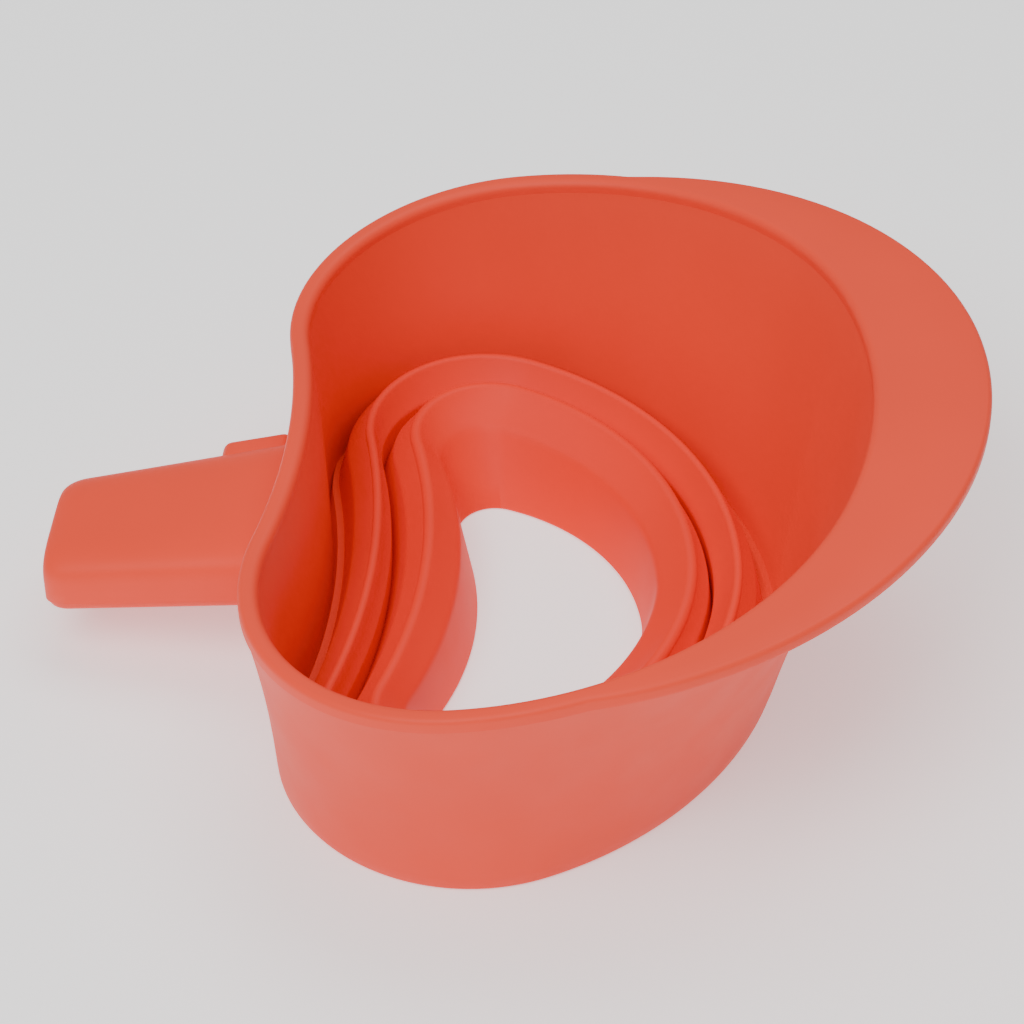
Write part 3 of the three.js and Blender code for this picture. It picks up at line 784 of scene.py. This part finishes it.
class FUNNEL_OT_clip(bpy.types.Operator):
    """Build the clip tab that stands out beside the handle's root"""

    bl_idname = "funnel.clip"
    bl_label = "Clip tab"

    def execute(self, context):
        tab = bmesh.new()
        bmesh.ops.create_cube(tab, size=1)
        mesh = bpy.data.meshes.new("clip_tab_body")
        bmesh.ops.scale(tab, vec=(12.5 * MM, 7.0 * MM, 5.0 * MM), verts=tab.verts)
        for corner in tab.verts:
            corner.co.y -= 2.6 * MM * (corner.co.x < 0)
            corner.co.z += 0.10 * corner.co.x
        bmesh.ops.bevel(tab, geom=tab.edges[:], offset=1.5 * MM, segments=5, profile=0.5, affect="EDGES")
        x = -55.3 * MM
        bmesh.ops.translate(tab, vec=(x + ROW_SHIFT_X, 18.2 * MM, handle_axis(x) + 3.2 * MM), verts=tab.verts)
        tab.to_mesh(mesh)
        tab.free()
        mesh.materials.append(finish_named("satin_shell"))
        clip = bpy.data.objects.new("clip_tab_body", mesh)
        bpy.context.scene.collection.objects.link(clip)
        plain_mesh(clip, "clip_tab_body")
        settle(clip, "shell", ["clip_tab"])
        return {"FINISHED"}


class FUNNEL_OT_screws(bpy.types.Operator):
    """Give the two handle screws their steel"""

    bl_idname = "funnel.screws"
    bl_label = "Handle screws"

    def execute(self, context):
        steel = finish_named("screw_steel")
        for name in ("handle_screw_front", "handle_screw_rear"):
            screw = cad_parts[name]
            screw.data.materials.clear()
            screw.data.materials.append(steel)
        return {"FINISHED"}


# ------------------------------------------------------------------ stage

CAMERA_PLACE = (25.4 * MM, -432.8 * MM, 404.3 * MM)
CAMERA_AZIMUTH = math.radians(4.112)
CAMERA_ELEVATION = math.radians(40.848)
CAMERA_LENS_MM = 110.4


def soft_light(name, place, size, power, target=(0, 0, 0.03)):
    data = bpy.data.lights.new(name, "AREA")
    data.energy = power
    data.shape = "RECTANGLE"
    data.size, data.size_y = size
    light = bpy.data.objects.new(name, data)
    light.location = place
    light.rotation_euler = (Vector(target) - Vector(place)).to_track_quat("-Z", "Y").to_euler()
    bpy.context.scene.collection.objects.link(light)


class FUNNEL_OT_stage(bpy.types.Operator):
    """Build the pale floor, the soft studio light and the camera"""

    bl_idname = "funnel.stage"
    bl_label = "Stage"

    def execute(self, context):
        scene = context.scene
        mesh = bpy.data.meshes.new("floor")
        reach = 3.0
        mesh.from_pydata([(-reach, -reach, 0), (reach, -reach, 0), (reach, reach, 0), (-reach, reach, 0)],
                         [], [(0, 1, 2, 3)])
        floor = bpy.data.objects.new("floor", mesh)
        scene.collection.objects.link(floor)
        floor.location.z = -0.2 * MM
        paint = bpy.data.materials.new("pale_floor")
        paint.use_nodes = True
        shader = paint.node_tree.nodes["Principled BSDF"]
        shader.inputs["Base Color"].default_value = tuple(scene.funnel_colours.floor)
        shader.inputs["Roughness"].default_value = 0.9
        shader.inputs["Emission Color"].default_value = (1, 1, 1, 1)
        shader.inputs["Emission Strength"].default_value = 0.5
        mesh.materials.append(paint)
        world = bpy.data.worlds.new("studio")
        scene.world = world
        world.use_nodes = True
        world.node_tree.nodes["Background"].inputs["Color"].default_value = (1, 1, 1, 1)
        world.node_tree.nodes["Background"].inputs["Strength"].default_value = 0.45
        soft_light("key", (-0.25, -0.45, 0.75), (0.5, 0.5), 5.0)
        soft_light("top", (0.1, 0.25, 0.85), (0.6, 0.4), 2.6)
        data = bpy.data.cameras.new("camera")
        data.sensor_width = 36
        data.lens = CAMERA_LENS_MM
        data.clip_end = 10
        camera = bpy.data.objects.new("camera", data)
        back = Vector((math.sin(CAMERA_AZIMUTH) * math.cos(CAMERA_ELEVATION),
                       -math.cos(CAMERA_AZIMUTH) * math.cos(CAMERA_ELEVATION), math.sin(CAMERA_ELEVATION)))
        camera.rotation_mode = "QUATERNION"
        camera.rotation_quaternion = (-back).to_track_quat("-Z", "Y")
        camera.location = Vector(CAMERA_PLACE) + Vector((ROW_SHIFT_X, 0, 0))
        scene.collection.objects.link(camera)
        scene.camera = camera
        return {"FINISHED"}


# ------------------------------------------------------------------ panel and registration

STEPS = ("rim", "wall", "folds", "middle_ring", "pouring_ring", "handle", "clip", "screws", "stage")


class FUNNEL_PT_panel(bpy.types.Panel):
    """Lists the funnel's pieces and their sizes"""

    bl_idname = "FUNNEL_PT_panel"
    bl_label = "Folding Measuring Funnel"
    bl_space_type = "VIEW_3D"
    bl_region_type = "UI"
    bl_category = "Funnel"

    def draw(self, context):
        for step in STEPS:
            self.layout.operator("funnel." + step)
        for group in (context.scene.funnel_sizes, context.scene.funnel_colours):
            for name in group.bl_rna.properties.keys():
                if name not in ("rna_type", "name"):
                    self.layout.prop(group, name)


CLASSES = (
    FunnelSizes, FunnelColours, FUNNEL_OT_rim, FUNNEL_OT_wall, FUNNEL_OT_folds, FUNNEL_OT_middle_ring,
    FUNNEL_OT_pouring_ring, FUNNEL_OT_handle, FUNNEL_OT_clip, FUNNEL_OT_screws, FUNNEL_OT_stage,
    FUNNEL_PT_panel,
)


def register():
    for cls in CLASSES:
        bpy.utils.register_class(cls)
    bpy.types.Scene.funnel_sizes = bpy.props.PointerProperty(type=FunnelSizes)
    bpy.types.Scene.funnel_colours = bpy.props.PointerProperty(type=FunnelColours)


def unregister():
    del bpy.types.Scene.funnel_colours
    del bpy.types.Scene.funnel_sizes
    for cls in reversed(CLASSES):
        bpy.utils.unregister_class(cls)


def main():
    register()
    for step in STEPS:
        getattr(bpy.ops.funnel, step)()


if __name__ == "__main__":
    main()
